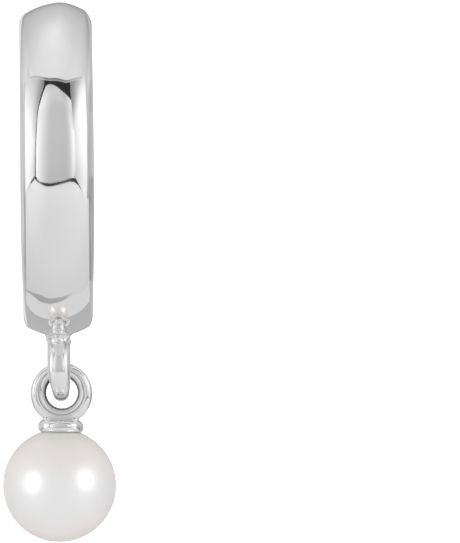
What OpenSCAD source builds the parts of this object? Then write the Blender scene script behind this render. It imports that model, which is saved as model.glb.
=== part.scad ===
// Small hoop earring, seen edge-on from the front, with a round pearl drop.
// The origin is the middle of the ear post. -Y faces the viewer, +X is the viewer's right, +Z is up.
// Angles round the hoop count from the front (0) over the top (90) to the back (180).

/* [Hoop] */
// Outer diameter of the hoop, over the crest of the band
hoop_d = 12.5; // [11:0.1:16]
// Thickness of the band at its crest
band_t = 1.2; // [1.1:0.05:1.5]
// Width of the band
band_w = 2.74; // [2.4:0.02:2.9]
// Radius of the dome across the band
dome_r = 1.64; // [1.52:0.02:2.4]
// Rounding where the dome turns into the flat side
shoulder_r = 0.25; // [0.15:0.01:0.35]
// Rounding of the two inner edges
inner_edge_r = 0.16; // [0.08:0.01:0.25]

/* [Ear post and back arm] */
// Thickness of the ear post
post_d = 0.76; // [0.6:0.02:0.8]
// Clearance round the post in its socket
socket_gap = 0.04; // [0.03:0.01:0.06]
// Depth of the socket, along the post
socket_depth = 0.8; // [0.5:0.05:1.2]
// Width of the back arm
arm_w = 2.2; // [1.6:0.05:2.4]
// Thickness of the back arm
arm_t = 1; // [0.8:0.05:1.1]
// Rounding along the back arm's edges
arm_edge_r = 0.3; // [0.15:0.05:0.4]
// Gap at the seam between the band and the back arm
seam_gap = 0.05; // [0.03:0.01:0.1]

/* [Loop under the hoop] */
// Outer diameter of the loop
loop_d = 2.42; // [2.3:0.02:2.6]
// Thickness of the loop's round wire
loop_wire_d = 0.84; // [0.78:0.02:0.88]
// How far the loop's outer edge sinks into the band
loop_sink = 0.09; // [0.05:0.01:0.2]
// Radius of the hollow fillet of solder at the loop's root
solder_r = 0.3; // [0.2:0.02:0.4]

/* [Pearl drop] */
// Diameter of the pearl
pearl_d = 4.22; // [3.5:0.02:5]
// Outer diameter of the drop's eye
eye_d = 2.307; // [2.2:0.01:2.5]
// Thickness of the eye's round wire
eye_wire_d = 0.536; // [0.48:0.01:0.56]
// Diameter of the cap on the pearl
cap_d = 1.7; // [1.4:0.02:2]
// Height of the cap
cap_h = 0.47; // [0.4:0.01:0.55]
// Length of the eye that stands clear above the cap
eye_above_cap = 2.14; // [2:0.01:2.25]
// Thickness of the peg in the drilled pearl
peg_d = 0.7; // [0.5:0.02:0.9]
// Length of the peg inside the pearl
peg_l = 1.5; // [1:0.1:2]
// Gap between pieces that rest on each other
seat_gap = 0.03; // [0.02:0.01:0.05]
// How far the eye's centre stands to one side of the pearl's plumb line
eye_offset = 0.1; // [0:0.01:0.12]

/* [Hidden] */
$fn = 96;

// Where each piece starts and ends round the hoop, in degrees
band_top_angle = 98;
arm_top_angle = 140;
seam_angle = 254;
post_angle = (band_top_angle + arm_top_angle) / 2;

hoop_r = hoop_d / 2;
inner_r = hoop_r - band_t;
post_path_r = inner_r + 0.55;
arm_outer_r = hoop_r - 0.15;
function on_arc(length, radius) = length / radius * 180 / PI;

// The hoop's centre, placed so that the post's middle is the origin
hoop_y = post_path_r * cos(post_angle);
hoop_z = -post_path_r * sin(post_angle);

// Band section: the shoulder's arc touches the dome's arc and the flat side
dome_centre = hoop_r - dome_r;
shoulder_x = band_w / 2 - shoulder_r;
shoulder_centre = dome_centre + sqrt(pow(dome_r - shoulder_r, 2) - pow(shoulder_x, 2));
dome_edge_angle = asin(shoulder_x / (dome_r - shoulder_r));

// Loop and the drop that hangs in it, measured down from the hoop's centre
loop_wire_r = loop_wire_d / 2;
loop_path_r = loop_d / 2 - loop_wire_r;
loop_drop = hoop_r - loop_sink + loop_d / 2;
loop_seat_drop = loop_drop + loop_path_r;
eye_wire_r = eye_wire_d / 2;
eye_path_r = eye_d / 2 - eye_wire_r;
eye_hole_r = eye_path_r - eye_wire_r;
eye_play = eye_hole_r - loop_wire_r - seat_gap;
// The drop swings about its eye's own centre: the round eye turns in place and keeps its gap to the loop
eye_drop = loop_seat_drop + sqrt(pow(eye_play, 2) - pow(eye_offset, 2));

// The cap sits on the pearl, along the drop's own axis from the eye's centre
pearl_r = pearl_d / 2;
cap_r = cap_d / 2;
cap_top = eye_above_cap - eye_d / 2;
rim_drop = cap_top + cap_h;
pearl_reach = rim_drop + seat_gap + sqrt(pow(pearl_r, 2) - pow(cap_r, 2));
lean = asin(eye_offset / pearl_reach);
overlap = 0.1;

// Puts a ring made round Z upright: its 0 degrees to the front, its 90 degrees to the top
module upright_at_hoop() {
    translate([0, hoop_y, hoop_z]) rotate([90, 0, -90]) children();
}

// Puts the drop's own axis under the loop, with its eye's centre as the zero
module hung_in_loop() {
    translate([eye_offset, hoop_y, hoop_z - eye_drop]) rotate([0, lean, 0]) children();
}

// Section of the band: flat inside, domed outside, with round shoulders
module band_section() {
    intersection() {
        translate([dome_centre, 0]) circle(dome_r);
        translate([shoulder_centre, -dome_r * sin(dome_edge_angle)])
            square([hoop_r, 2 * dome_r * sin(dome_edge_angle)]);
    }
    translate([inner_r + inner_edge_r, -band_w / 2])
        square([shoulder_centre - inner_r - inner_edge_r, band_w]);
    translate([inner_r, inner_edge_r - band_w / 2])
        square([shoulder_centre - inner_r, band_w - 2 * inner_edge_r]);
    for (side = [-1, 1]) {
        translate([shoulder_centre, side * shoulder_x]) circle(shoulder_r);
        translate([inner_r + inner_edge_r, side * (band_w / 2 - inner_edge_r)])
            circle(inner_edge_r);
    }
}

// Section of the back arm: a bar with rounded edges
module arm_section() {
    arm_inner = arm_outer_r - arm_t;
    translate([arm_inner, arm_edge_r - arm_w / 2]) square([arm_t, arm_w - 2 * arm_edge_r]);
    translate([arm_inner + arm_edge_r, -arm_w / 2]) square([arm_t - 2 * arm_edge_r, arm_w]);
    for (r = [arm_inner + arm_edge_r, arm_outer_r - arm_edge_r])
        for (side = [-1, 1])
            translate([r, side * (arm_w / 2 - arm_edge_r)]) circle(arm_edge_r);
}

// Fixed loop of round wire under the hoop, with its solder
module hanging_loop() {
    translate([0, hoop_y, hoop_z - loop_drop]) rotate([0, 90, 0])
        rotate_extrude() translate([loop_path_r, 0]) circle(loop_wire_r);
    root_r = loop_wire_r;
    translate([0, hoop_y, hoop_z - hoop_r - solder_r]) rotate_extrude() difference() {
        square([root_r + solder_r, solder_r + overlap]);
        translate([root_r + solder_r, 0]) circle(solder_r);
    }
}

// Front of the hoop: the domed band, its post socket and its soldered loop, one piece of metal
module hoop_band() color("gainsboro") {
    difference() {
        upright_at_hoop()
            rotate_extrude(angle = band_top_angle + 360 - seam_angle, start = seam_angle - 360)
                band_section();
        upright_at_hoop()
            rotate_extrude(angle = on_arc(socket_depth, post_path_r) + 1,
                           start = band_top_angle - on_arc(socket_depth, post_path_r))
                translate([post_path_r, 0]) circle(post_d / 2 + socket_gap);
    }
    hanging_loop();
}

// Back of the hoop: a plain arm that ends in the ear post
module back_arm() color("silver") upright_at_hoop() {
    arm_end = seam_angle - on_arc(seam_gap, hoop_r);
    tip_angle = band_top_angle - on_arc(socket_depth - 2 * socket_gap, post_path_r);
    rotate_extrude(angle = arm_end - arm_top_angle, start = arm_top_angle) arm_section();
    rotate_extrude(angle = arm_top_angle + 2 - tip_angle, start = tip_angle)
        translate([post_path_r, 0]) circle(post_d / 2);
}

// Eye, cap and peg of the drop, one casting
module drop_eye() color("gainsboro") hung_in_loop() {
    rim_r = cap_h / 2;
    rotate([90, 0, 0]) rotate_extrude() translate([eye_path_r, 0]) circle(eye_wire_r);
    difference() {
        translate([0, 0, -cap_top - rim_r]) rotate_extrude() {
            translate([0, -rim_r]) square([cap_r - rim_r, cap_h]);
            intersection() {
                translate([cap_r - rim_r, 0]) circle(rim_r);
                translate([0, -cap_h]) square([cap_d, 2 * cap_h]);
            }
        }
        translate([0, 0, -pearl_reach]) sphere(pearl_r + seat_gap);
    }
    translate([0, 0, -pearl_reach + pearl_r - peg_l])
        cylinder(d = peg_d, h = peg_l + cap_h / 2);
}

// Round pearl, drilled half through for the peg
module pearl() color("ghostwhite") hung_in_loop() translate([0, 0, -pearl_reach]) {
    difference() {
        sphere(pearl_r);
        translate([0, 0, pearl_r - peg_l - seat_gap])
            cylinder(d = peg_d + 2 * seat_gap, h = peg_l + overlap);
    }
}

hoop_band();
back_arm();
drop_eye();
pearl();
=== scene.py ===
"""Looks of a small domed hoop earring with a round pearl drop, seen edge-on from the front."""
import math

import bmesh
import bpy
import numpy as np
from mathutils import Matrix, Vector, noise


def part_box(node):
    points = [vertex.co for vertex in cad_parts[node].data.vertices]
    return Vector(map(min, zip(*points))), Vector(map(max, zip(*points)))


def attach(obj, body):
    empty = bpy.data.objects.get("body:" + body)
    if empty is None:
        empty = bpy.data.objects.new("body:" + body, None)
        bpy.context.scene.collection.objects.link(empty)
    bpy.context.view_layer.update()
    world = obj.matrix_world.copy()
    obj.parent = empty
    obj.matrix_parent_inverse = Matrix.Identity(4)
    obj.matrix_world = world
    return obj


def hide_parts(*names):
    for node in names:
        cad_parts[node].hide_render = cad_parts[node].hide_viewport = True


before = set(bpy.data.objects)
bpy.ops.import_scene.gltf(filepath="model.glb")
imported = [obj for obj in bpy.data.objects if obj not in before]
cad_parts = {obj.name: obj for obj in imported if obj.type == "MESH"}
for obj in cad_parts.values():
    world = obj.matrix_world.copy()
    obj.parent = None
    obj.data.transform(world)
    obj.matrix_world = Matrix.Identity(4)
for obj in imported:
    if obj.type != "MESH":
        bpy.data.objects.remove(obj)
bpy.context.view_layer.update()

MM = 0.001
# Edges that turn by more than this many degrees are shaded as sharp
SHARP_ANGLE = 55
# A length in millimetres that is too small to see
HAIR = 0.001
# Points round a small rounded end, a wire and a fillet of solder
END_STEPS, WIRE_STEPS, SOLDER_STEPS = 7, 48, 128

# Real sizes of the hoop, in millimetres
HOOP_R = 6.25
BAND_T = 1.2
DOME_R = 1.64
INNER_EDGE_R = 0.16
BAND_START, BAND_END = -106, 98
BAND_STATIONS, BAND_END_ROUNDING = 230, 0.1
# Angle round the hoop from the front, and half the band's width there, which is smoothed over some degrees each way
BAND_HALF_WIDTHS = ((-106, 1.285), (-62, 1.3), (-50, 1.325), (-38, 1.35), (-24, 1.366), (0, 1.368), (20, 1.366),
                    (50, 1.357), (70, 1.354), (98, 1.353))
WIDTH_SMOOTHING, WIDTH_SAMPLES = 9, 13
# The band leans a hair to the left towards its top end
TOP_LEAN, TOP_LEAN_SPAN = 0.0145, (10, 70)
# The dome ends in a soft crease on each side, and a bevel turns from there to the flat side
DOME_EDGE, BEVEL_START = 45.3, 50.5
CREASE_R = 0.05
# Hand polishing has left the crest a little off centre at the top of the hoop
CREST_LIFT, CREST_SPREAD, CREST_TILT, CREST_FADE = 0.03, 0.22, 0.008, (35, 75)
# and the dome a little fuller at its sides at the very top, and flatter at the bottom. A value's AT, FROM and WIDTH
# are distances from the band's middle line, and its FADE is the span of angles in which it sets in
TOP_FULLNESS, TOP_FULLNESS_AT, TOP_FADE = 0.085, 1.1, (52, 84)
TOP_CORNER, TOP_CORNER_FROM, TOP_CORNER_WIDTH, TOP_CORNER_POWER = 0.13, 1.12, 0.22, 1.5
BOTTOM_DIP, BOTTOM_RISE, BOTTOM_RISE_AT, BOTTOM_FADE = 0.08, 0.13, 1.15, (60, 82)
SIDE_LIMIT, SIDE_POWER, SIDE_END, SIDE_END_WIDTH = 1.2, 4, 1.3, 0.2

# Back arm, ear post and socket
ARM_OUTER_R = HOOP_R - 0.155
ARM_W, ARM_T, ARM_EDGE_R = 2.2, 1.0, 0.3
ARM_START, ARM_END = 140, 253.5
ARM_STATIONS, ARM_END_ROUNDING = 120, 0.12
POST_PATH_R = HOOP_R - BAND_T + 0.55
POST_R = 0.38
POST_TIP, POST_TIP_ROUNDING = 90.8, 0.12
POST_STEPS, POST_STATIONS = 40, 60
SOCKET_R, SOCKET_DEPTH, SOCKET_LIP = 0.42, 0.8, 0.03
POST_FLARE, POST_FLARE_DEGREES, POST_FLARE_STEPS = 0.16, 3.2, 12
# How many degrees the post runs on inside the arm
POST_ROOT = 1.5

# Loop under the hoop, and its solder
LOOP_R, LOOP_WIRE_R = 1.21, 0.42
LOOP_HALF, LOOP_TIP_HALF = 0.435, 0.32
LOOP_SHIFT, LOOP_TIP_SHIFT = 0.015, 0.09
LOOP_EASE, LOOP_STATIONS = 1.6, 120
# Power of the section's outline: 2 is round, and the outer half gets squarer towards the loop's tip
ROUND, LOOP_SQUARENESS = 2, 2.5
# Rings of the solder: half its width, half its length and its height over the face it lies on
SOLDER_FOOT, SOLDER_WAIST, SOLDER_HEAD = (0.429, 0.74, 0), (0.44, 0.5, -0.03), (0.56, 0.98, 0.008)
SOLDER_ROWS = 22
SOLDER_LUMPS, SOLDER_LUMPS_FROM, SOLDER_SWELL, SOLDER_BELLY = 3.1, Vector((3, 1, 4)), 0.09, 0.7

# Drop: eye, cap and pearl
EYE_R, EYE_WIRE_R = 1.1535, 0.268
EYE_STATIONS = 144
EYE_CREASE, EYE_CREASE_ANGLES = 0.016, np.array((-0.09, -0.04, 0.04, 0.09))
# The wire is thicker inwards at the lower left: its hole is a little smaller than the ring round it, and off centre
EYE_SWELL, EYE_SWELL_THIN = 0.038, 61.5
CAP_TOP, CAP_R, CAP_H, CAP_FOOT_INSET = 0.9865, 0.85, 0.47, 0.07
CAP_TOP_RADII = (0.02, 0.3)
# Power of the sine and cosine along the cap's lower rim, where 1 would be round, and where its arc starts and ends
CAP_SQUARE, CAP_SQUARE_SPAN = 0.72, (5, 64)
# Rings of the solder between eye and cap: half its width, half its length and its height over the cap's top
EYE_SOLDER_HEAD, EYE_SOLDER_WAIST, EYE_SOLDER_FOOT = (0.72, 0.262), (0.6, 0.27, 0.01), (0.74, 0.42, -0.004)
EYE_SOLDER_STEPS, EYE_SOLDER_ROWS = 72, 8
PEG_R, PEG_L, PEG_BEVEL = 0.35, 1.5, 0.05
PEARL_R = 2.11
PEARL_STEPS, PEARL_ROWS = 128, 97
PEARL_LIP, PEARL_LIP_DEPTH, PEARL_TIP = 0.04, 0.09, 0.004
NACRE_UNEVEN, NACRE_LUMPS, NACRE_LUMPS_FROM = 0.0015, 1.3, Vector((5, 2, 8))
SEAT_GAP = 0.03


# Places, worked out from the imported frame, in millimetres
band_low, band_high = (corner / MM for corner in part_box("hoop_band"))
eye_low, eye_high = (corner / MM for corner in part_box("drop_eye"))
pearl_low, pearl_high = (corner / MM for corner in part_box("pearl"))
HOOP_CENTRE = Vector((0, band_low.y + HOOP_R, band_high.z - HOOP_R))
LOOP_CENTRE = Vector((0, HOOP_CENTRE.y, band_low.z + LOOP_R))
EYE_CENTRE = Vector(((eye_low.x + eye_high.x) / 2, HOOP_CENTRE.y, eye_high.z - EYE_R))
PEARL_CENTRE = Vector(((pearl_low.x + pearl_high.x) / 2, HOOP_CENTRE.y, pearl_low.z + PEARL_R))
PEARL_REACH = (EYE_CENTRE - PEARL_CENTRE).length
DROP_LEAN = math.atan2(EYE_CENTRE.x - PEARL_CENTRE.x, EYE_CENTRE.z - PEARL_CENTRE.z)


# Mesh tools: a shell is (vertices in millimetres, faces)
def loft(rows, wrap=False, fill_start=False, fill_end=False):
    """Skin over rows of points, where each row is a closed ring."""
    rows = np.asarray(rows, float)
    count, size = rows.shape[:2]
    faces = []
    for i in range(count if wrap else count - 1):
        a, b = i * size, (i + 1) % count * size
        faces += [(a + j, a + (j + 1) % size, b + (j + 1) % size, b + j) for j in range(size)]
    if fill_start:
        faces.append(tuple(range(size)))
    if fill_end:
        faces.append(tuple((count - 1) * size + j for j in range(size)))
    return rows.reshape(-1, 3), faces


def moved(shell, matrix):
    """The shell after a turn and a shift."""
    vertices, faces = shell
    turn, shift = np.array(matrix.to_3x3()), np.array(matrix.translation)
    return vertices @ turn.T + shift, faces


def add_piece(name, shells, material, body, node):
    """One object of several shells, which stands for a node of the frame."""
    vertices, faces = [], []
    for points, quads in shells:
        faces += [tuple(i + len(vertices) for i in face) for face in quads]
        vertices += [tuple(p * MM) for p in points]
    mesh = bpy.data.meshes.new(name)
    mesh.from_pydata(vertices, [], faces)
    work = bmesh.new()
    work.from_mesh(mesh)
    bmesh.ops.recalc_face_normals(work, faces=work.faces)
    work.to_mesh(mesh)
    work.free()
    mesh.polygons.foreach_set("use_smooth", [True] * len(mesh.polygons))
    mesh.set_sharp_from_angle(angle=math.radians(SHARP_ANGLE))
    mesh.materials.append(material)
    piece = bpy.data.objects.new(name, mesh)
    bpy.context.scene.collection.objects.link(piece)
    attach(piece, body)
    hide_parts(node)


def full_turn(count):
    """Even angles of a full turn, in radians."""
    return np.radians(np.linspace(0, 360, count, endpoint=False))


def arc(centre, radius, start, end, count):
    """Points on an arc, as (along, across) pairs. 0 degrees points along."""
    a = np.radians(np.linspace(start, end, count))
    return np.stack([centre[0] + radius * np.cos(a), centre[1] + radius * np.sin(a)], 1)


def mirrored_outline(half):
    """A closed outline from its half, which runs from the middle line round to the middle line."""
    return np.concatenate([half, half[-2:0:-1] * (1, -1)])


def inset(outline, depth):
    """A closed convex outline moved inwards by depth."""
    if not depth:
        return outline
    along = np.roll(outline, -1, 0) - np.roll(outline, 1, 0)
    out = np.stack([along[:, 1], -along[:, 0]], 1)
    out /= np.linalg.norm(out, axis=1)[:, None]
    middle = outline.mean(0)
    if ((outline - middle) * out).sum() < 0:
        out = -out
    return outline - out * depth


def round_hoop(outline, degrees):
    """Places an outline of (radius, side) pairs at an angle round the hoop, counted from the front over the top."""
    a = math.radians(degrees)
    radius, side = outline[:, 0], outline[:, 1]
    return np.stack([
        side,
        HOOP_CENTRE.y - radius * math.cos(a),
        HOOP_CENTRE.z + radius * math.sin(a),
    ], 1)


def rounded_stations(start, end, count, rounding, path_r):
    """Angles along a sweep and the inset of its outline there, with both ends rounded over."""
    turn = np.radians(np.linspace(0, 90, END_STEPS))
    step = np.degrees(rounding / path_r)
    head = [(start + step * (1 - math.sin(t)), rounding * (1 - math.cos(t))) for t in turn[::-1]]
    body = [(a, 0) for a in np.linspace(start + step, end - step, count)[1:-1]]
    tail = [(end - step * (1 - math.sin(t)), rounding * (1 - math.cos(t))) for t in turn]
    return head + body + tail


def skirt(lower, middle, upper, count):
    """A hollow fillet between two rings of points, drawn towards a middle ring."""
    shares = np.linspace(0, 1, count)
    return loft([(1 - t) ** 2 * lower + 2 * t * (1 - t) * middle + t ** 2 * upper for t in shares])


# Front band
def band_half_width(degrees):
    """Half the band's width at an angle round the hoop, smoothed between the measured places."""
    angles, halves = zip(*BAND_HALF_WIDTHS)
    near = degrees + np.linspace(-WIDTH_SMOOTHING, WIDTH_SMOOTHING, WIDTH_SAMPLES)
    return float(np.mean(np.interp(near, angles, halves)))


def eased(degrees, span):
    """0 before a span of angles and 1 after it, with a smooth change between."""
    share = np.interp(degrees, span, (0, 1))
    return share * share * (3 - 2 * share)


def bottom_shape(side):
    """How far the dome's surface is lowered at its crest and raised at its sides, at the bottom of the hoop."""
    return BOTTOM_RISE * (np.minimum(np.abs(side), SIDE_LIMIT) / BOTTOM_RISE_AT) ** SIDE_POWER - BOTTOM_DIP


def crest_shift(side, degrees):
    """How far hand polishing has raised or lowered the dome's surface, near the top and the bottom."""
    off = np.abs(side)
    lean = (CREST_LIFT * np.tanh(side / CREST_SPREAD) + CREST_TILT * side) * eased(degrees, CREST_FADE)
    full = TOP_FULLNESS * (np.minimum(off, SIDE_LIMIT) / TOP_FULLNESS_AT) ** SIDE_POWER * eased(degrees, TOP_FADE)
    edge = np.clip((SIDE_END - off) / SIDE_END_WIDTH, 0, 1)
    corner = np.clip((off - TOP_CORNER_FROM) / TOP_CORNER_WIDTH, 0, 1) ** TOP_CORNER_POWER
    return ((lean + full + bottom_shape(side) * eased(-degrees, BOTTOM_FADE)) * edge
            + TOP_CORNER * corner * eased(degrees, TOP_FADE))


def band_outline(degrees):
    """Section of the band as (radius, side) pairs: domed and bevelled outside, flat inside, with round edges."""
    half = band_half_width(degrees)
    inner = HOOP_R - BAND_T
    start, turn = math.radians(DOME_EDGE), math.radians(BEVEL_START)
    crease = (HOOP_R - DOME_R + (DOME_R - CREASE_R) * math.cos(start), (DOME_R - CREASE_R) * math.sin(start))
    bevel_from = (crease[0] + CREASE_R * math.cos(turn), crease[1] + CREASE_R * math.sin(turn))
    bevel_r = (half - bevel_from[1]) / (1 - math.sin(turn))
    bevel = (bevel_from[0] - bevel_r * math.cos(turn), half - bevel_r)
    outline = mirrored_outline(np.concatenate([
        arc((HOOP_R - DOME_R, 0), DOME_R, 0, DOME_EDGE, count=32),
        arc(crease, CREASE_R, DOME_EDGE, BEVEL_START, count=5)[1:],
        arc(bevel, bevel_r, BEVEL_START, 90, count=14)[1:],
        arc((inner + INNER_EDGE_R, half - INNER_EDGE_R), INNER_EDGE_R, 90, 180, count=9),
        np.linspace((inner, half - INNER_EDGE_R), (inner, 0), num=7)[1:],
    ]))
    dome = outline[:, 0] > bevel[0] - HAIR
    outline[:, 0] += np.where(dome, crest_shift(outline[:, 1], degrees), 0)
    outline[:, 0] -= max(0, outline[:, 0].max() - HOOP_R) * dome
    outline[:, 1] -= TOP_LEAN * eased(degrees, TOP_LEAN_SPAN)
    return outline


def post_ring(outline, radius, degrees):
    """A circle round the post's line, with one point for each point of the outline."""
    middle = np.array((POST_PATH_R, 0))
    toward = outline - middle
    toward /= np.linalg.norm(toward, axis=1)[:, None]
    return round_hoop(middle + toward * radius, degrees)


def band_shell():
    """The domed front of the hoop, with the post's socket in its top end."""
    stations = rounded_stations(BAND_START, BAND_END, BAND_STATIONS, BAND_END_ROUNDING, POST_PATH_R)
    rows = [round_hoop(inset(band_outline(degrees), depth), degrees) for degrees, depth in stations]
    outline = inset(band_outline(BAND_END), BAND_END_ROUNDING)
    for radius, depth in ((SOCKET_R + SOCKET_LIP, 0), (SOCKET_R, SOCKET_LIP), (SOCKET_R, SOCKET_DEPTH)):
        rows.append(post_ring(outline, radius, BAND_END - math.degrees(depth / POST_PATH_R)))
    return loft(rows, fill_start=True, fill_end=True)


# Loop and solder
def loop_section(degrees):
    """Half width, sideways shift and squareness of the loop's metal, at an angle from the front over its top."""
    low = max(0.0, -math.sin(math.radians(degrees)))
    ease = low ** LOOP_EASE
    half = LOOP_HALF + (LOOP_TIP_HALF - LOOP_HALF) * ease
    return half, LOOP_SHIFT + (LOOP_TIP_SHIFT - LOOP_SHIFT) * ease, ROUND + (LOOP_SQUARENESS - ROUND) * low


def loop_shell():
    """The stout cast loop, narrower at its tip, where the drop hangs."""
    rows = []
    around = full_turn(WIRE_STEPS)
    for degrees in np.linspace(0, 360, LOOP_STATIONS, endpoint=False):
        half, shift, squareness = loop_section(degrees)
        square = np.where(np.cos(around) > 0, squareness, ROUND)
        out, side = [np.sign(v) * np.abs(v) ** (ROUND / square) for v in (np.cos(around), np.sin(around))]
        radius = LOOP_R - LOOP_WIRE_R + LOOP_WIRE_R * out
        a = math.radians(degrees)
        rows.append(np.stack([
            shift + half * side,
            LOOP_CENTRE.y - radius * math.cos(a),
            LOOP_CENTRE.z + radius * math.sin(a),
        ], 1))
    return loft(rows, wrap=True)


def under_band(x, y):
    """Height of the band's outer face at its bottom."""
    radius = HOOP_R - DOME_R + np.sqrt(DOME_R ** 2 - x ** 2) + bottom_shape(x)
    return HOOP_CENTRE.z - np.sqrt(radius ** 2 - y ** 2)


def over_loop(x, y):
    """Height of the loop's upper face."""
    across = (x - LOOP_SHIFT) / LOOP_HALF
    radius = LOOP_R - LOOP_WIRE_R + LOOP_WIRE_R * np.sqrt(np.maximum(1 - across ** 2, 0))
    return LOOP_CENTRE.z + np.sqrt(np.maximum(radius ** 2 - y ** 2, 0))


def solder_shell():
    """Solder that has run, a little lumpy, into the corner between the loop and the band."""
    around = full_turn(SOLDER_STEPS)

    def ring(face, half_x, half_y, height):
        x, y = LOOP_SHIFT + half_x * np.cos(around), half_y * np.sin(around)
        return np.stack([x, HOOP_CENTRE.y + y, face(x, y) + height], 1)

    lower = ring(over_loop, *SOLDER_FOOT)
    middle, upper = ring(under_band, *SOLDER_WAIST), ring(under_band, *SOLDER_HEAD)
    vertices, faces = skirt(lower, middle, upper, SOLDER_ROWS)
    rows = vertices.reshape(SOLDER_ROWS, SOLDER_STEPS, 3)
    axis = np.array((0, HOOP_CENTRE.y, 0))
    for share, row in zip(np.linspace(0, 1, SOLDER_ROWS), rows):
        out = (row - axis) * (1, 1, 0)
        out /= np.linalg.norm(out, axis=1)[:, None]
        lump = np.array([noise.noise(Vector(p) * SOLDER_LUMPS + SOLDER_LUMPS_FROM) for p in row])
        row += out * (SOLDER_SWELL * lump * math.sin(math.pi * share) ** SOLDER_BELLY)[:, None]
    return rows.reshape(-1, 3), faces


# Back arm with its post
def arm_outline():
    """Section of the back arm: a bar with rounded edges."""
    inner, outer = ARM_OUTER_R - ARM_T, ARM_OUTER_R
    half = ARM_W / 2
    r = ARM_EDGE_R
    return mirrored_outline(np.concatenate([
        np.linspace((outer, 0), (outer, half - r), num=6),
        arc((outer - r, half - r), r, 0, 90, count=10)[1:],
        np.linspace((outer - r, half), (inner + r, half), num=4)[1:],
        arc((inner + r, half - r), r, 90, 180, count=10)[1:],
        np.linspace((inner, half - r), (inner, 0), num=6)[1:],
    ]))


def arm_shell():
    """The plain bar behind the ear."""
    outline = arm_outline()
    stations = rounded_stations(ARM_START, ARM_END, ARM_STATIONS, ARM_END_ROUNDING, POST_PATH_R)
    rows = [round_hoop(inset(outline, depth), degrees) for degrees, depth in stations]
    return loft(rows, fill_start=True, fill_end=True)


def post_shell():
    """The round post that goes through the ear, flared where it joins the arm, with a rounded tip."""
    around = full_turn(POST_STEPS)
    rows = []

    def add(degrees, radius):
        rows.append(round_hoop(np.stack([
            POST_PATH_R + radius * np.cos(around), radius * np.sin(around)], 1), degrees))

    tip = math.degrees(POST_TIP_ROUNDING / POST_PATH_R)
    for t in np.radians(np.linspace(90, 0, END_STEPS)):
        add(POST_TIP + tip * (1 - math.sin(t)), POST_R - POST_TIP_ROUNDING * (1 - math.cos(t)))
    for degrees in np.linspace(POST_TIP + tip, ARM_START - POST_FLARE_DEGREES, POST_STATIONS)[1:]:
        add(degrees, POST_R)
    for t in np.linspace(0, 1, POST_FLARE_STEPS)[1:]:
        add(ARM_START - POST_FLARE_DEGREES * (1 - t), POST_R + POST_FLARE * (1 - math.sqrt(1 - t * t)))
    add(ARM_START + POST_ROOT, POST_R + POST_FLARE)
    return loft(rows, fill_start=True, fill_end=True)


# Drop
def drop_matrix():
    """Takes a shape made round the eye's centre, with the pearl straight below, to where the drop hangs."""
    return Matrix.Translation(EYE_CENTRE) @ Matrix.Rotation(DROP_LEAN, 4, "Y")


def turned(profile, count=96):
    """Rings of points of a round shape, from a profile of (radius, height) pairs."""
    around = full_turn(count)
    return [np.stack([r * np.cos(around), r * np.sin(around), np.full(count, h)], 1) for r, h in profile]


def eye_shell():
    """The drop's round eye, with a fine crease left by the die along the middle of both faces."""
    front, back = math.pi / 2, math.pi * 1.5
    around = np.sort(np.concatenate([full_turn(WIRE_STEPS), front + EYE_CREASE_ANGLES, back + EYE_CREASE_ANGLES]))
    from_middle = np.minimum(abs(around - front), abs(around - back))
    wire = EYE_WIRE_R - EYE_CREASE * np.clip(1 - from_middle / EYE_CREASE_ANGLES[-1], 0, 1)
    rows = []
    for a in full_turn(EYE_STATIONS):
        swell = EYE_SWELL * (1 - math.cos(a - math.radians(EYE_SWELL_THIN)))
        radius = EYE_R - EYE_WIRE_R + wire * np.cos(around) - swell * np.clip(-np.cos(around), 0, 1)
        rows.append(np.stack([radius * math.cos(a), wire * np.sin(around), radius * math.sin(a)], 1))
    return loft(rows, wrap=True)


def cap_shell():
    """The cap: a thick disc with a round rim, hollowed underneath where it sits on the pearl."""
    rim = CAP_H / 2
    rim_r, rim_z = CAP_R - rim, -CAP_TOP - rim
    seat_r = PEARL_R + SEAT_GAP
    peg_tip = -PEARL_REACH + PEARL_R - PEG_L
    profile = [(r, -CAP_TOP) for r in (*CAP_TOP_RADII, rim_r)]
    profile += list(arc((rim_r, rim_z), rim, 90, 0, count=16)[1:])
    for t in np.radians(np.linspace(*CAP_SQUARE_SPAN, num=12)):
        profile.append((rim_r + rim * math.cos(t) ** CAP_SQUARE, rim_z - rim * math.sin(t) ** CAP_SQUARE))
    profile += [(r, -PEARL_REACH + math.sqrt(seat_r ** 2 - r ** 2))
                for r in np.linspace(CAP_R - CAP_FOOT_INSET, PEG_R, num=8)]
    profile += [(PEG_R, peg_tip + PEG_BEVEL), (PEG_R - PEG_BEVEL, peg_tip)]
    return loft(turned(profile), fill_start=True, fill_end=True)


def eye_solder_shell():
    """Fillet between the eye's wire and the cap."""
    around = full_turn(EYE_SOLDER_STEPS)

    def ring(half_x, half_y, height=None):
        x, y = half_x * np.cos(around), half_y * np.sin(around)
        return np.stack([x, y, under_eye(x, y) if height is None else np.full(len(x), -CAP_TOP + height)], 1)

    def under_eye(x, y):
        radius = EYE_R - EYE_WIRE_R + np.sqrt(np.maximum(EYE_WIRE_R ** 2 - y ** 2, 0))
        return -np.sqrt(np.maximum(radius ** 2 - x ** 2, 0))

    return skirt(ring(*EYE_SOLDER_HEAD), ring(*EYE_SOLDER_WAIST), ring(*EYE_SOLDER_FOOT), EYE_SOLDER_ROWS)


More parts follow.
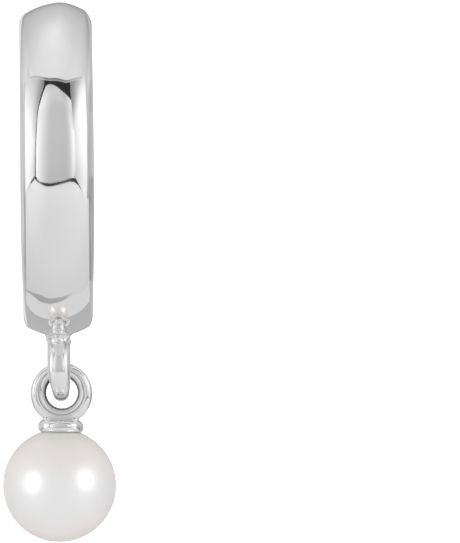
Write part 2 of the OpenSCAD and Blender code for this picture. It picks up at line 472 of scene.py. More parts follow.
def pearl_shell():
    """The pearl, faintly uneven as nacre grows, drilled from the top."""
    hole_r = PEG_R + SEAT_GAP
    lip = math.asin((hole_r + PEARL_LIP) / PEARL_R)
    rows = turned([(hole_r, PEARL_R - PEG_L), (hole_r, PEARL_R - PEARL_LIP_DEPTH)], PEARL_STEPS)
    angles = np.concatenate([np.linspace(lip, math.pi, PEARL_ROWS)[:-1], [math.pi - PEARL_TIP]])
    for ring in turned([(math.sin(a), math.cos(a)) for a in angles], PEARL_STEPS):
        uneven = np.array([noise.noise(Vector(p) * NACRE_LUMPS + NACRE_LUMPS_FROM) for p in ring])
        rows.append(ring * (PEARL_R * (1 - NACRE_UNEVEN * (1 + uneven)))[:, None])
    vertices, faces = loft(rows, fill_start=True, fill_end=True)
    return vertices - (0, 0, PEARL_REACH), faces


# Materials
# A mix node's sockets, for numbers and for colours
NUMBER_A, NUMBER_B, COLOUR_A, COLOUR_B, COLOUR_OUT = 2, 3, 6, 7, 2
# Painted shade on the inner wall of the drop's eye and along the die's crease: the share of colour kept, by
# distance in millimetres from a middle that stands a little off the eye's own
SHADE_SHIFT = Vector((-0.01, 0, 0.05))
SHADE_STOPS = ((0.53, 0.16), (0.57, 0.22), (0.61, 0.42), (0.65, 0.66), (0.71, 0.86), (0.77, 1.0), (0.82, 1.0),
               (0.838, 0.6), (0.858, 0.6), (0.88, 1.0), (0.9, 1.0))
# Colours of the nacre, by height on the pearl from its foot (0) to its top (1), darker at the top as painted shade
# under the cap
NACRE_STOPS = ((0.08, (0.95, 0.905, 0.882, 1)), (0.26, (0.925, 0.916, 0.917, 1)), (0.46, (0.91, 0.918, 0.93, 1)),
               (0.68, (0.905, 0.908, 0.905, 1)), (0.86, (0.92, 0.88, 0.857, 1)), (0.95, (0.89, 0.875, 0.845, 1)),
               (1, (0.83, 0.85, 0.815, 1)))
NACRE_CLOUDS = 0.16
GOLD_PALE, GOLD_DEEP = (0.902, 0.895, 0.898), (0.875, 0.868, 0.871)
# How far below the loop's top its cast, softer metal starts
SOFT_DROP = 0.1


def node_group(name, inputs, outputs):
    """An empty shader group with named number or colour sockets."""
    group = bpy.data.node_groups.new(name, "ShaderNodeTree")
    for label, kind, value in inputs:
        socket = group.interface.new_socket(label, in_out="INPUT", socket_type=kind)
        socket.default_value = value
    for label, kind in outputs:
        group.interface.new_socket(label, in_out="OUTPUT", socket_type=kind)
    return group, group.nodes.new("NodeGroupInput"), group.nodes.new("NodeGroupOutput")


def linked(tree, kind, inputs=None, **settings):
    """A node with its settings, its inputs set to values or linked to sockets."""
    node = tree.nodes.new(kind)
    for key, value in settings.items():
        setattr(node, key, value)
    for key, value in (inputs or {}).items():
        if isinstance(value, bpy.types.NodeSocket):
            tree.links.new(value, node.inputs[key])
        else:
            node.inputs[key].default_value = value
    return node


def new_material(name, constants):
    """A material with its node tree and its shader, and constants set on the shader's own sockets."""
    material = bpy.data.materials.new(name)
    material.use_nodes = True
    shader = material.node_tree.nodes["Principled BSDF"]
    for key, value in constants.items():
        shader.inputs[key].default_value = value
    return material, material.node_tree, shader


def set_stops(ramp, stops):
    """Gives a colour ramp its stops of (position, colour)."""
    elements = ramp.color_ramp.elements
    while len(elements) < len(stops):
        elements.new(0.5)
    for element, (position, colour) in zip(elements, stops):
        element.position, element.color = position, colour


def ramp_node(tree, value, stops):
    """A number that follows stops of (place, number) along a value."""
    low, high = stops[0][0], stops[-1][0]
    peak = max(number for _, number in stops)
    along = linked(tree, "ShaderNodeMapRange", {"Value": value, "From Min": low, "From Max": high})
    ramp = linked(tree, "ShaderNodeValToRGB", {"Fac": along.outputs["Result"]})
    set_stops(ramp, [((place - low) / (high - low), (*(number / peak,) * 3, 1)) for place, number in stops])
    return linked(tree, "ShaderNodeMath", {0: ramp.outputs["Color"], 1: peak}, operation="MULTIPLY").outputs[0]


def hand_polish_group():
    """Fine wheel marks, slight waviness and a trace of haze, as a hand-polished metal shows."""
    group, given, result = node_group("hand_polish", [
        ("Mark scale", "NodeSocketFloat", 900.0),
        ("Mark stretch", "NodeSocketVector", (1.0, 0.04, 0.04)),
        ("Wave scale", "NodeSocketFloat", 260.0),
        ("Low roughness", "NodeSocketFloat", 0.04),
        ("High roughness", "NodeSocketFloat", 0.1),
        ("Wave share", "NodeSocketFloat", 0.7),
        ("Soft below", "NodeSocketFloat", -1.0),
        ("Soft roughness", "NodeSocketFloat", 0.3),
    ], [("Roughness", "NodeSocketFloat"), ("Height", "NodeSocketFloat"), ("Haze", "NodeSocketFloat")])
    place = linked(group, "ShaderNodeTexCoord")
    stretched = linked(group, "ShaderNodeVectorMath", {
        0: place.outputs["Object"], 1: given.outputs["Mark stretch"]}, operation="MULTIPLY")
    marks = linked(group, "ShaderNodeTexNoise", {
        "Vector": stretched.outputs[0], "Scale": given.outputs["Mark scale"], "Detail": 4.0})
    waves = linked(group, "ShaderNodeTexNoise", {
        "Vector": place.outputs["Object"], "Scale": given.outputs["Wave scale"], "Detail": 1.5})
    haze = linked(group, "ShaderNodeTexNoise", {
        "Vector": place.outputs["Object"], "Scale": 420.0, "Detail": 5.0, "Roughness": 0.7})
    rough = linked(group, "ShaderNodeMapRange", {
        "Value": haze.outputs["Fac"], "From Min": 0.35, "From Max": 0.75,
        "To Min": given.outputs["Low roughness"], "To Max": given.outputs["High roughness"]})
    height = linked(group, "ShaderNodeMix", {
        "Factor": given.outputs["Wave share"], NUMBER_A: marks.outputs["Fac"], NUMBER_B: waves.outputs["Fac"]})
    place_parts = linked(group, "ShaderNodeSeparateXYZ", {"Vector": place.outputs["Object"]})
    above_soft = linked(group, "ShaderNodeMath", {
        0: place_parts.outputs["Z"], 1: given.outputs["Soft below"]}, operation="SUBTRACT")
    polished = linked(group, "ShaderNodeMapRange", {
        "Value": above_soft.outputs[0], "From Min": -0.3 * MM, "From Max": 0.1 * MM,
        "To Min": given.outputs["Soft roughness"], "To Max": rough.outputs["Result"]})
    group.links.new(polished.outputs["Result"], result.inputs["Roughness"])
    group.links.new(height.outputs[0], result.inputs["Height"])
    group.links.new(haze.outputs["Fac"], result.inputs["Haze"])
    return group


def inside_shade(tree):
    """Painted shade on the inner wall of the drop's eye, darkest towards its top, and on the fine line left by the
    die.
    """
    place = linked(tree, "ShaderNodeTexCoord")
    shift = linked(tree, "ShaderNodeVectorMath", {
        0: place.outputs["Object"], 1: tuple((EYE_CENTRE + SHADE_SHIFT) * MM)}, operation="SUBTRACT")
    across = linked(tree, "ShaderNodeVectorMath", {
        0: shift.outputs[0], 1: (1 / MM, 0, 1 / MM)}, operation="MULTIPLY")
    radius = linked(tree, "ShaderNodeVectorMath", {0: across.outputs[0]}, operation="LENGTH")
    return ramp_node(tree, radius.outputs["Value"], SHADE_STOPS)


def polished_metal(name, group, marks, bump, shade=None):
    """White gold, with its own depth of polishing marks, and a shade over it if there is one."""
    material, tree, shader = new_material(name, {"Metallic": 1.0})
    polish = linked(tree, "ShaderNodeGroup", marks, node_tree=group)
    tint = linked(tree, "ShaderNodeMix", {
        "Factor": polish.outputs["Haze"], COLOUR_A: (*GOLD_PALE, 1), COLOUR_B: (*GOLD_DEEP, 1)}, data_type="RGBA")
    relief = linked(tree, "ShaderNodeBump", {
        "Height": polish.outputs["Height"], "Strength": 1.0, "Distance": bump * MM})
    colour = tint.outputs[COLOUR_OUT]
    if shade:
        shaded = linked(tree, "ShaderNodeMix", {
            "Factor": 1.0, COLOUR_A: colour, COLOUR_B: shade(tree)}, data_type="RGBA", blend_type="MULTIPLY")
        colour = shaded.outputs[COLOUR_OUT]
    tree.links.new(colour, shader.inputs["Base Color"])
    tree.links.new(polish.outputs["Roughness"], shader.inputs["Roughness"])
    tree.links.new(relief.outputs["Normal"], shader.inputs["Normal"])
    return material


def nacre():
    """Pale nacre: warm below, cool in the middle, a trace of green and painted shade under the cap, glossy and soft
    inside.
    """
    material, tree, shader = new_material("nacre", {
        "IOR": 1.95, "Subsurface Weight": 0.35,
        "Subsurface Radius": (1.0, 0.85, 0.75), "Subsurface Scale": 0.5 * MM,
        "Coat Weight": 0.3, "Coat Roughness": 0.3, "Coat Tint": (1.0, 0.975, 0.965, 1),
        "Sheen Weight": 0.3, "Sheen Tint": (1.0, 0.74, 0.66, 1)})
    place = linked(tree, "ShaderNodeTexCoord")
    parts = linked(tree, "ShaderNodeSeparateXYZ", {"Vector": place.outputs["Object"]})
    low, high = (PEARL_CENTRE.z - PEARL_R) * MM, (PEARL_CENTRE.z + PEARL_R) * MM
    level = linked(tree, "ShaderNodeMapRange", {
        "Value": parts.outputs["Z"], "From Min": low, "From Max": high})
    cloud = linked(tree, "ShaderNodeTexNoise", {
        "Vector": place.outputs["Object"], "Scale": 520.0, "Detail": 3.0, "Roughness": 0.55})
    drift = linked(tree, "ShaderNodeMath", {
        0: cloud.outputs["Fac"], 1: NACRE_CLOUDS, 2: level.outputs["Result"]}, operation="MULTIPLY_ADD")
    ramp = linked(tree, "ShaderNodeValToRGB", {"Fac": drift.outputs[0]})
    set_stops(ramp, NACRE_STOPS)
    tree.links.new(ramp.outputs["Color"], shader.inputs["Base Color"])
    grain = linked(tree, "ShaderNodeTexNoise", {
        "Vector": place.outputs["Object"], "Scale": 900.0, "Detail": 1.0})
    rough = linked(tree, "ShaderNodeMapRange", {
        "Value": grain.outputs["Fac"], "From Min": 0.3, "From Max": 0.7, "To Min": 0.39, "To Max": 0.41})
    tree.links.new(rough.outputs["Result"], shader.inputs["Roughness"])
    return material


# Studio: a pale sweep and soft panels, which the polished metal mirrors
# The panels' distance in millimetres, and the directions along which their glow changes
REACH = 1200.0
ACROSS, BACK, UP, FROM_MIDDLE = (1, 0, 0), (0, 1, 0), (0, 0, 1), None
UP_LEFT, UP_RIGHT, LEFT_FRONT, RIGHT_FRONT = (-1, 0, 1), (1, 0, 1), (-1, -0.3, 0), (1, -0.3, 0)
# Lamps for the pearl alone: slopes across and up, watts, width, height, and whether the gloss shows them
PEARL_LAMPS = (("pearl_lamp_left", -1.5, 0.2, 6.8, 0.17, 0.36, True),
               ("pearl_lamp_right", 1.45, 0.31, 6.8, 0.17, 0.36, True),
               ("pearl_fill", 0, 0.4, 0.6, 0.6, 0.6, False))


def glow_material(name, strength, ramps=(), depth=1.0):
    """A glowing surface: a strength times ramps, each along a direction of its slopes as seen from the hoop."""
    material = bpy.data.materials.new(name)
    material.use_nodes = True
    tree = material.node_tree
    tree.nodes.clear()
    out = tree.nodes.new("ShaderNodeOutputMaterial")
    place = linked(tree, "ShaderNodeTexCoord")
    hoop = tuple(HOOP_CENTRE * MM)
    from_hoop = linked(tree, "ShaderNodeVectorMath", {0: place.outputs["Object"], 1: hoop}, operation="SUBTRACT")
    slopes = linked(tree, "ShaderNodeVectorMath", {
        0: from_hoop.outputs[0], 1: (1 / (REACH * MM * depth),) * 3}, operation="MULTIPLY")
    total = strength
    for direction, stops in ramps:
        if direction is FROM_MIDDLE:
            away = linked(tree, "ShaderNodeVectorMath", {
                0: slopes.outputs[0], 1: (*OVERHEAD_MIDDLE, 1)}, operation="SUBTRACT")
            along = linked(tree, "ShaderNodeVectorMath", {0: away.outputs[0]}, operation="LENGTH")
        else:
            along = linked(tree, "ShaderNodeVectorMath", {
                0: slopes.outputs[0], 1: direction}, operation="DOT_PRODUCT")
        level = ramp_node(tree, along.outputs["Value"], stops)
        total = linked(tree, "ShaderNodeMath", {0: total, 1: level}, operation="MULTIPLY").outputs[0]
    glow = linked(tree, "ShaderNodeEmission", {"Strength": total})
    tree.links.new(glow.outputs[0], out.inputs["Surface"])
    return material


def studio_panel(name, rows, glow):
    """A soft panel between rows of corners, given by their slopes from the hoop's centre, unseen by the camera."""
    count = len(rows[0])
    corners = [tuple((Vector(corner) * REACH + HOOP_CENTRE) * MM) for row in rows for corner in row]
    faces = [(r * count + i, r * count + i + 1, (r + 1) * count + i + 1, (r + 1) * count + i)
             for r in range(len(rows) - 1) for i in range(count - 1)]
    mesh = bpy.data.meshes.new(name)
    mesh.from_pydata(corners, [], faces)
    mesh.materials.append(glow)
    panel = bpy.data.objects.new(name, mesh)
    bpy.context.scene.collection.objects.link(panel)
    panel.visible_camera = False
    panel.visible_shadow = False


# Distances of panels as shares of REACH
CARD_NEAR, SEAM_NEAR, SIDE_FAR, TABLE_FAR, TABLE_SEAM_FAR = 0.6, 0.985, 1.2, 0.5, 0.52
OVERHEAD_MIDDLE = (-0.1, 0.4)
SEAM_TOP, SEAM_LOW, LIP_LOW = 0.022, -0.006, -0.028
# Edges of panels from left to right, as pairs of slopes: across and up in front, across and back above and under
FRONT_BOTTOM = ((-1.52, -0.104), (-1.243, -0.158), (-1.022, -0.174), (-0.7, -0.171), (-0.337, -0.165),
                (0.041, -0.145), (0.227, -0.136), (0.431, -0.126), (0.675, -0.112), (0.93, -0.112))
FRONT_TOP = ((-0.955, 1.92), (-0.9, 1.94), (-0.715, 1.925), (-0.52, 1.88), (-0.26, 1.78),
             (0.055, 1.645), (0.345, 1.53), (0.566, 1.486), (0.892, 1.445), (1.217, 1.426))
# The front panel's rows: share of the way from its bottom to its top edge, and its left corner's slopes
FRONT_LEFT = ((0.3, -1.515, 0.36), (0.5, -1.545, 0.77), (0.62, -1.59, 1.02), (0.72, -1.51, 1.28),
              (0.82, -1.27, 1.51), (0.9, -1.16, 1.66), (0.96, -1.0, 1.83))
OVERHEAD_FRONT = ((-2.6, 1.6), (-1.7, 0.62), (-1.438, 0.361), (-1.209, 0.141), (-1.017, -0.018), (-0.855, -0.145),
                  (-0.707, -0.244), (-0.572, -0.329), (-0.439, -0.391), (-0.267, -0.448), (-0.096, -0.468),
                  (0.072, -0.474), (0.244, -0.472), (0.425, -0.445), (0.607, -0.36), (0.791, -0.228),
                  (0.998, -0.062), (1.23, 0.179), (1.431, 0.436), (1.7, 0.78), (2.6, 1.8))
TABLE_FRONT = ((-6, -0.8), (-3.54, -0.43), (-2.26, -0.244), (-1.72, -0.16), (-1.314, -0.187), (-0.846, -0.203),
               (-0.565, -0.212), (-0.34, -0.205), (-0.144, -0.193), (0.04, -0.18), (0.227, -0.168),
               (0.431, -0.161), (0.676, -0.158), (1.003, -0.18), (1.63, -0.284), (4.05, -0.893), (6, -1.32))
TABLE_BACK = ((-8, 6.4), (-4, 3.2), (-1.283, 1.142), (-1.074, 0.83), (-0.851, 0.572), (-0.672, 0.395),
              (-0.514, 0.289), (-0.371, 0.239), (-0.242, 0.194), (-0.12, 0.159), (0, 0.135), (0.248, 0.142),
              (0.382, 0.174), (0.684, 0.365), (1.176, 0.87), (4, 2.8), (8, 5.6))
BACK_TABLE_FRONT = ((-1.6, 1.75), (-1.263, 1.195), (-1.055, 0.882), (-0.83, 0.643), (-0.643, 0.523),
                    (-0.489, 0.434), (-0.356, 0.357), (-0.116, 0.259), (0, 0.227), (0.117, 0.211),
                    (0.24, 0.207), (0.375, 0.217), (0.519, 0.278), (0.859, 0.564), (1.6, 1.3))
BACK_TABLE_BACK = ((-1.6, 2.3), (-1.252, 1.781), (-1.076, 1.547), (-0.885, 1.357), (-0.734, 1.225),
                   (-0.503, 1.021), (-0.319, 0.881), (-0.158, 0.784), (0.047, 0.701), (0.204, 0.717),
                   (0.316, 0.754), (0.507, 0.846), (0.745, 1.045), (0.957, 1.263), (1.6, 2.1))
# Rows of a side panel from the bottom up: its front edge's slopes back and up, then its back edge's
SIDE_LEFT = ((-0.585, -0.06, 0.12, -0.155), (-0.6, 0.1, 0.12, 0.1), (-0.612, 0.218, 0.12, 0.22),
             (-0.6, 0.454, 0.14, 0.32), (-0.596, 0.587, 0.19, 0.4), (-0.595, 0.75, 0.24, 0.48),
             (-0.655, 1.03, 0.28, 0.54), (-0.697, 1.209, 0.31, 0.6), (-0.779, 1.479, 0.35, 0.66),
             (-0.82, 1.716, 0.42, 0.75), (-0.78, 1.95, 0.5, 0.9))
SIDE_RIGHT = ((-1, -0.09, -0.1, -0.243), (-1, 0.1, -0.07, 0), (-1, 0.3, -0.06, 0.15), (-1, 0.5, 0.0, 0.27),
              (-1, 0.8, 0.04, 0.36), (-1, 1.1, 0.07, 0.43), (-0.83, 1.19, 0.11, 0.5), (-0.808, 1.3, 0.15, 0.55),
              (-0.808, 1.349, 0.2, 0.6), (-0.741, 1.457, 0.24, 0.64), (-0.667, 1.527, 0.3, 0.7),
              (-0.55, 1.8, 0.4, 0.8))


def ahead(points, depth=1.0):
    """Places on the upright plane in front of the hoop, from slopes across and up."""
    return [(x * depth, -depth, z * depth) for x, z in points]


def above(points, depth=1.0):
    """Places on the level plane over the hoop, from slopes across and back."""
    return [(x * depth, y * depth, depth) for x, y in points]


def under(points, depth=TABLE_FAR):
    """Places on the level plane under the hoop, from slopes across and back."""
    return [(x * depth, y * depth, -depth) for x, y in points]


def beside(side, points, depth=1.0):
    """Places on the upright plane to one side of the hoop, from slopes back and up."""
    return [(side * depth, y * depth, z * depth) for y, z in points]


def build_front_panel():
    """The panel on the camera's side, dimmer in its middle, with a brighter strip along its right edge."""
    glow = glow_material("front_panel_glow", 1.0, (
        (ACROSS, ((-1.6, 1.2), (-1.4, 1.16), (-1.2, 1.05), (-1, 0.95), (-0.85, 0.857), (-0.7, 0.78), (-0.55, 0.694),
               (-0.4, 0.625), (-0.2, 0.6), (0.45, 0.592), (0.6, 0.632), (0.75, 0.777), (0.9, 0.955), (1.2, 1.05))),
        (UP, ((-0.12, 0.93), (-0.04, 0.92), (0.05, 0.96), (0.4, 0.997), (1, 1.009), (1.2, 1.12), (1.4, 1.156),
               (1.55, 1.13), (1.7, 1.1), (1.9, 1.05))),
        (UP_LEFT, ((1.6, 1.0), (2.1, 0.93), (2.4, 0.82), (2.9, 0.82))),
        (UP_RIGHT, ((1.6, 1.0), (1.8, 0.9), (2, 0.79), (2.3, 0.75)))))
    rows = [ahead(FRONT_BOTTOM)]
    for share, left, height in FRONT_LEFT:
        rows.append(ahead([(left, height)] + [
            (b[0] + (t[0] - b[0]) * share, min(height, b[1] + (t[1] - b[1]) * share))
            for b, t in zip(FRONT_BOTTOM[1:], FRONT_TOP[1:])]))
    rows.append(ahead(FRONT_TOP))
    studio_panel("front_panel", rows, glow)
    strip_rows = (((0.8, -0.112), (1.2, -0.122)), ((0.82, 0.3), (1.2, 0.3)), ((0.9, 0.64), (1.36, 0.72)))
    strip = glow_material("front_strip_glow", 1.0, (
        (ACROSS, ((0.75, 0.95), (0.9, 1.0), (1.0, 1.06), (1.08, 1.0), (1.15, 0.85), (1.4, 0.84))),
        (UP, ((-0.12, 0.72), (-0.02, 0.85), (0.1, 0.96), (0.3, 1.08), (0.6, 1.18)))))
    studio_panel("front_strip", [ahead(row) for row in strip_rows], strip)


def build_overhead_panel():
    """The broad panel overhead, brightest over the hoop, with the dark seam and pale lip of its front edge."""
    glow = glow_material("overhead_glow", 1.0, (
        (FROM_MIDDLE, ((0, 0.88), (0.25, 0.8), (0.5, 0.742), (0.75, 0.723), (1, 0.72), (1.3, 0.694), (1.8, 0.632),
                    (2.6, 0.591), (4, 0.548))),
        (BACK, ((-0.5, 1.123), (-0.2, 1.145), (0.1, 1.103), (0.4, 1.018), (0.7, 0.963), (1, 0.905), (1.5, 0.833),
               (2.2, 0.82), (3, 0.72), (5, 0.6))),
        (ACROSS, ((-4, 2.1), (-3.3, 1.85), (-2.5, 1.55), (-2, 1.34), (-1.5, 1.22), (-1, 0.992), (0, 1.02),
                  (0.5, 0.96), (1, 1), (1.5, 1.02), (1.8, 1.1), (2.2, 1.5), (2.6, 1.4), (3.3, 1.6))),
        (RIGHT_FRONT, ((1.95, 1.0), (2.3, 0.78), (3, 0.74))),
        (LEFT_FRONT, ((1.9, 1.0), (2.3, 0.84), (3, 0.74), (4, 0.66)))))
    front = [(x, y + SEAM_LOW) for x, y in OVERHEAD_FRONT]
    (middle_spread, middle_y), (back_spread, back_y) = (1.4, 1.2), (2, 5)
    studio_panel("overhead_panel", [
        above(front), above([(x * middle_spread, max(y, middle_y)) for x, y in front]),
        above([(x * back_spread, back_y) for x, y in front])], glow)
    for name, stops, near, far in (
            ("seam", ((-1.45, 0.5), (-1, 0.42), (-0.6, 0.34), (-0.4, 0.2), (0.3, 0.2), (0.6, 0.34), (0.8, 0.45),
                      (1.45, 0.5)), SEAM_TOP, SEAM_LOW),
            ("lip", ((-1.45, 0.8), (-0.6, 0.72), (-0.45, 0.45), (0, 0.42), (0.3, 0.42), (0.5, 0.5), (0.65, 0.62),
                     (0.8, 0.75), (1.45, 0.75)), SEAM_LOW, LIP_LOW)):
        studio_panel(f"overhead_{name}", [
            above([(x, y + shift) for x, y in OVERHEAD_FRONT[2:-2]], SEAM_NEAR) for shift in (near, far)],
            glow_material(f"overhead_{name}_glow", 1.0, ((ACROSS, stops),)))


def build_side_panels():
    """Two bright upright panels, one on each side, that lean against the overhead panel's edge."""
    for name, side, rows, back, up in (
            ("left", -1, SIDE_LEFT,
             ((-0.7, 0.595), (-0.6, 0.58), (-0.5, 0.647), (-0.4, 0.742), (-0.3, 0.825), (-0.2, 0.888), (0.1, 0.9),
              (0.2, 0.872), (0.35, 0.827), (0.5, 0.784)),
             ((0, 1.217), (0.1, 1.349), (0.2, 1.398), (0.3, 1.422), (0.4, 1.248), (0.5, 1.11), (0.6, 1.014),
              (0.7, 0.89), (0.8, 0.85), (1, 0.728), (1.2, 0.686), (1.4, 0.62), (1.7, 0.502))),
            ("right", 1, SIDE_RIGHT,
             ((-1.1, 0.6), (-1, 0.62), (-0.9, 0.64), (-0.8, 0.675), (-0.7, 0.72), (-0.6, 0.78), (-0.5, 0.818),
              (-0.4, 0.884), (-0.3, 0.939), (-0.2, 0.964), (-0.1, 0.93), (0.1, 0.86), (0.25, 0.7)),
             ((-0.1, 1.021), (0, 1.074), (0.1, 1.185), (0.2, 1.27), (0.6, 1.3), (0.7, 1.166), (0.8, 0.964),
              (0.9, 0.734), (1, 0.578), (1.2, 0.434), (1.5, 0.4)))):
        glow = glow_material(f"side_{name}_glow", 1.0, ((BACK, back), (UP, up)), depth=SIDE_FAR)
        studio_panel(f"side_{name}", [beside(side, [row[:2], row[2:]], SIDE_FAR) for row in rows], glow)


def build_table():
    """The light table under the earring and behind it, with the dark seam between its two sheets."""
    glow = glow_material("table_glow", 1.0, (
        (BACK, ((-1, 0.794), (-0.4, 0.784), (-0.2, 0.775), (-0.1, 0.758), (0, 0.732), (0.1, 0.721), (0.2, 0.714),
               (0.4, 0.675), (0.7, 0.67))),
        (UP, ((-0.5, 0.997), (-0.42, 1.014), (-0.34, 1.042), (-0.28, 1.05), (-0.16, 1.03))),
        (ACROSS, ((-2, 1.122), (-1.4, 1.091), (-1, 1.057), (-0.7, 1.005), (-0.4, 0.964), (0, 0.975), (0.7, 1.024),
               (1.4, 1.08), (2, 1.084)))))
    corner_z, seam_spread, seam_depth = -0.5, 1.02, 0.3
    studio_panel("table", [
        ahead(TABLE_FRONT), ahead([(x, min(z, corner_z)) for x, z in TABLE_FRONT]), under(TABLE_BACK)], glow)
    back_glow = glow_material("table_back_glow", 0.74)
    studio_panel("table_back", [under(BACK_TABLE_FRONT), under(BACK_TABLE_BACK)], back_glow)
    seam_glow = glow_material("table_seam_glow", 1.0, (
        (ACROSS, ((-1, 0.42), (0.1, 0.42), (0.25, 0.7), (1, 0.75))),))
    seam_back = [(x * seam_spread, y + seam_depth) for x, y in TABLE_BACK]
    studio_panel("table_seam", [under(edge, TABLE_SEAM_FAR) for edge in (TABLE_BACK, seam_back)], seam_glow)


def build_dark_cards():
    """Dark backing behind the gaps between the panels, and the dark cards that draw the band's creases."""
    half_width, depth, low, high = 8, 2.5, -1.0, 9
    studio_panel("dark_backing", [[(-half_width, -depth, z), (half_width, -depth, z)] for z in (low, high)],
                 glow_material("backing_glow", 0.03))
    inner = ((0.12, -0.03), (0.17, -0.22), (0.3, -0.4), (0.5, -0.55), (0.78, -0.66))
    outer = ((0.45, -0.0385), (0.496, -0.154), (0.612, -0.27), (0.842, -0.387), (1.1, -0.462))
    for name, side, strength in (("card_left", -1, 0.42), ("card_right", 1, 0.3)):
        studio_panel(name, [beside(side, edge, CARD_NEAR) for edge in (inner, outer)], glow_material(
            f"{name}_glow", strength, ((UP, ((-0.42, 1.0), (-0.14, 1.0), (-0.03, 1.4))),), depth=CARD_NEAR))
    upper, lower = ((0.45, -0.02), (1.2, -0.01), (3, 0)), ((1.1, -0.46), (1.96, -0.27), (4.2, -0.13))
    studio_panel("card_right_back", [beside(1, edge, CARD_NEAR) for edge in (upper, lower)],
                 glow_material("card_right_back_glow", 0.4))


def build_back_wall():
    """The wall behind the earring: dark in the middle, where the rims mirror it, and pale on the left."""
    glow = glow_material("back_wall_glow", 1.0, ((ACROSS, (
        (-2, 0.66), (-1.3, 0.66), (-0.84, 0.64), (-0.6, 0.66), (-0.45, 0.7), (-0.35, 0.86), (-0.25, 0.87),
        (-0.15, 0.6), (-0.05, 0.42), (0.05, 0.4), (0.2, 0.48), (0.35, 0.56), (0.6, 0.6), (0.9, 0.57), (2, 0.55))),))
    half_width, low, high = 2, -0.25, 0.19
    studio_panel("back_wall", [[(-half_width, 1, z), (half_width, 1, z)] for z in (low, high)], glow)


def build_pearl_lamps():
    """Soft lamps in front for the pearl alone: two small ones for its highlights, a broad weak one for its body."""
    shown = bpy.data.collections.new("lit_by_pearl_lamps")
    bpy.context.scene.collection.children.link(shown)
    shown.objects.link(bpy.data.objects["pearl_nacre"])
    for name, across, up, watts, wide, high, glossy in PEARL_LAMPS:
        light = bpy.data.lights.new(name, "AREA")
        light.shape, light.size, light.size_y, light.energy = "ELLIPSE", wide, high, watts
        lamp = bpy.data.objects.new(name, light)
        toward = Vector((across, -1, up)).normalized()
        lamp.matrix_world = (Matrix.Translation(PEARL_CENTRE * MM + toward)
                             @ toward.to_track_quat("Z", "Y").to_matrix().to_4x4())
        lamp.visible_camera = False
        lamp.visible_diffuse = not glossy
        lamp.visible_glossy = glossy
        lamp.visible_shadow = False
        lamp.light_linking.receiver_collection = shown
        bpy.context.scene.collection.objects.link(lamp)


def build_studio():
    """Everything that lights the earring and shows in its metal."""
    build_front_panel()
    build_overhead_panel()
    build_side_panels()
    build_table()
    build_dark_cards()
    build_back_wall()
    build_pearl_lamps()


def build_sweep():
    """Pale round floor that curves up into a wall on all sides."""
    drop_mm, radius, bend, top, vault, tip = 12, 2.2, 0.6, 3.0, 0.3, 0.001
    floor_z = (PEARL_CENTRE.z - PEARL_R - drop_mm) * MM
    bend_angles = np.radians(np.linspace(6, 90, num=22))
    profile = [(tip, 0), (radius - bend, 0)]
    profile += [(radius - bend + bend * math.sin(a), bend - bend * math.cos(a)) for a in bend_angles]
    profile += [(radius, top), (tip, top + vault)]
    vertices, faces = loft(turned([(r, z + floor_z) for r, z in profile]))
    mesh = bpy.data.meshes.new("sweep")
    mesh.from_pydata([tuple(v) for v in vertices], [], faces)
    material, _, _ = new_material("sweep_paper", {
        "Base Color": (0.93, 0.93, 0.93, 1), "Roughness": 0.9,
        "Emission Color": (1, 1, 1, 1), "Emission Strength": 1.0})
    mesh.materials.append(material)
    mesh.polygons.foreach_set("use_smooth", [True] * len(mesh.polygons))
    sweep = bpy.data.objects.new("sweep", mesh)
    bpy.context.scene.collection.objects.link(sweep)
    sweep.visible_glossy = sweep.visible_diffuse = sweep.visible_transmission = sweep.visible_shadow = False


def build_world():
    """Even grey light from all round, a little lighter above and on the left, which the camera sees as white."""
    lighter_towards = (-0.3, 0, 1)
    world = bpy.data.worlds.new("studio")
    bpy.context.scene.world = world
    world.use_nodes = True
    tree = world.node_tree
    place = linked(tree, "ShaderNodeTexCoord")
    lean = linked(tree, "ShaderNodeVectorMath", {
        0: place.outputs["Generated"], 1: lighter_towards}, operation="DOT_PRODUCT")
    strength = ramp_node(tree, lean.outputs["Value"], (
        (-0.5, 0.49), (-0.2, 0.51), (0, 0.57), (0.2, 0.65), (0.4, 0.65)))
    background = tree.nodes["Background"]
    background.inputs["Color"].default_value = (1, 1, 1, 1)
    ray = linked(tree, "ShaderNodeLightPath")
    seen = linked(tree, "ShaderNodeMix", {
        "Factor": ray.outputs["Is Camera Ray"], NUMBER_A: strength, NUMBER_B: 1.0})
    tree.links.new(seen.outputs[0], background.inputs["Strength"])


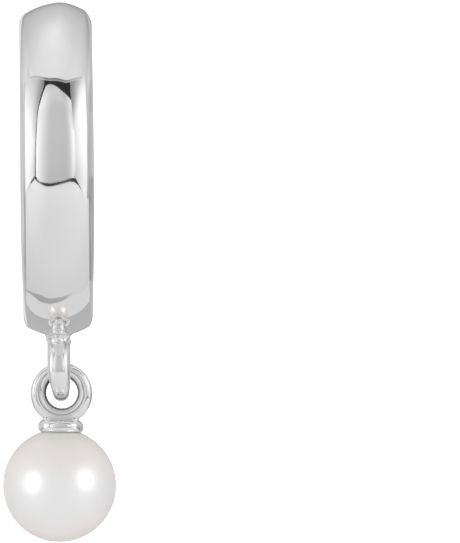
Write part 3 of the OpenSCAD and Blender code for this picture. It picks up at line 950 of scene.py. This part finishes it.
def build_camera():
    """Long lens in front of the hoop, turned so that the earring stands in the left of the picture."""
    pixels_per_mm, width_px, height_px, distance = 27.0, 460, 543, 600.0
    focal_px = pixels_per_mm * distance
    hoop_px, focus_depth = (57.0, 170.0), 2.0
    turn = math.atan((width_px / 2 - hoop_px[0]) / focal_px)
    roll = math.radians(-0.45)
    forward = Vector((math.sin(turn), math.cos(turn), 0))
    level = Vector((math.cos(turn), -math.sin(turn), 0))
    right = level * math.cos(roll) + Vector((0, 0, math.sin(roll)))
    up = right.cross(forward)
    camera_data = bpy.data.cameras.new("camera")
    camera_data.sensor_width = 36
    camera_data.lens = focal_px / height_px * camera_data.sensor_width
    camera_data.clip_start, camera_data.clip_end = 0.01, 10
    camera = bpy.data.objects.new("camera", camera_data)
    across = (width_px / 2 - hoop_px[0]) / pixels_per_mm
    down = (height_px / 2 - hoop_px[1]) / pixels_per_mm
    place = HOOP_CENTRE - Vector((0, focus_depth, 0)) + right * across - up * down - forward * distance
    camera.matrix_world = Matrix.Translation(place * MM) @ Matrix((right, up, -forward)).transposed().to_4x4()
    bpy.context.scene.collection.objects.link(camera)
    bpy.context.scene.camera = camera


def build_earring():
    """All pieces of the earring, each in place of its node."""
    polish = hand_polish_group()
    hoop_metal = polished_metal("hoop_white_gold", polish, {
        "Low roughness": 0.035, "High roughness": 0.075,
        "Soft below": (band_low.z + 2 * LOOP_R - SOFT_DROP) * MM, "Soft roughness": 0.17}, bump=0.004)
    arm_metal = polished_metal("arm_white_gold", polish, {
        "Low roughness": 0.08, "High roughness": 0.14}, bump=0.006)
    drop_metal = polished_metal("drop_white_gold", polish, {
        "Wave scale": 900.0, "Low roughness": 0.07, "High roughness": 0.13}, bump=0.008, shade=inside_shade)
    hang = drop_matrix()
    add_piece("hoop_band_polished", [band_shell(), loop_shell(), solder_shell()],
              hoop_metal, "hoop", "hoop_band")
    add_piece("back_arm_polished", [arm_shell(), post_shell()], arm_metal, "hoop", "back_arm")
    add_piece("drop_eye_polished", [moved(s, hang) for s in (eye_shell(), cap_shell(), eye_solder_shell())],
              drop_metal, "drop", "drop_eye")
    add_piece("pearl_nacre", [moved(pearl_shell(), hang)], nacre(), "drop", "pearl")


build_earring()
build_sweep()
build_world()
build_studio()
build_camera()
bpy.context.scene.view_settings.view_transform = "Standard"
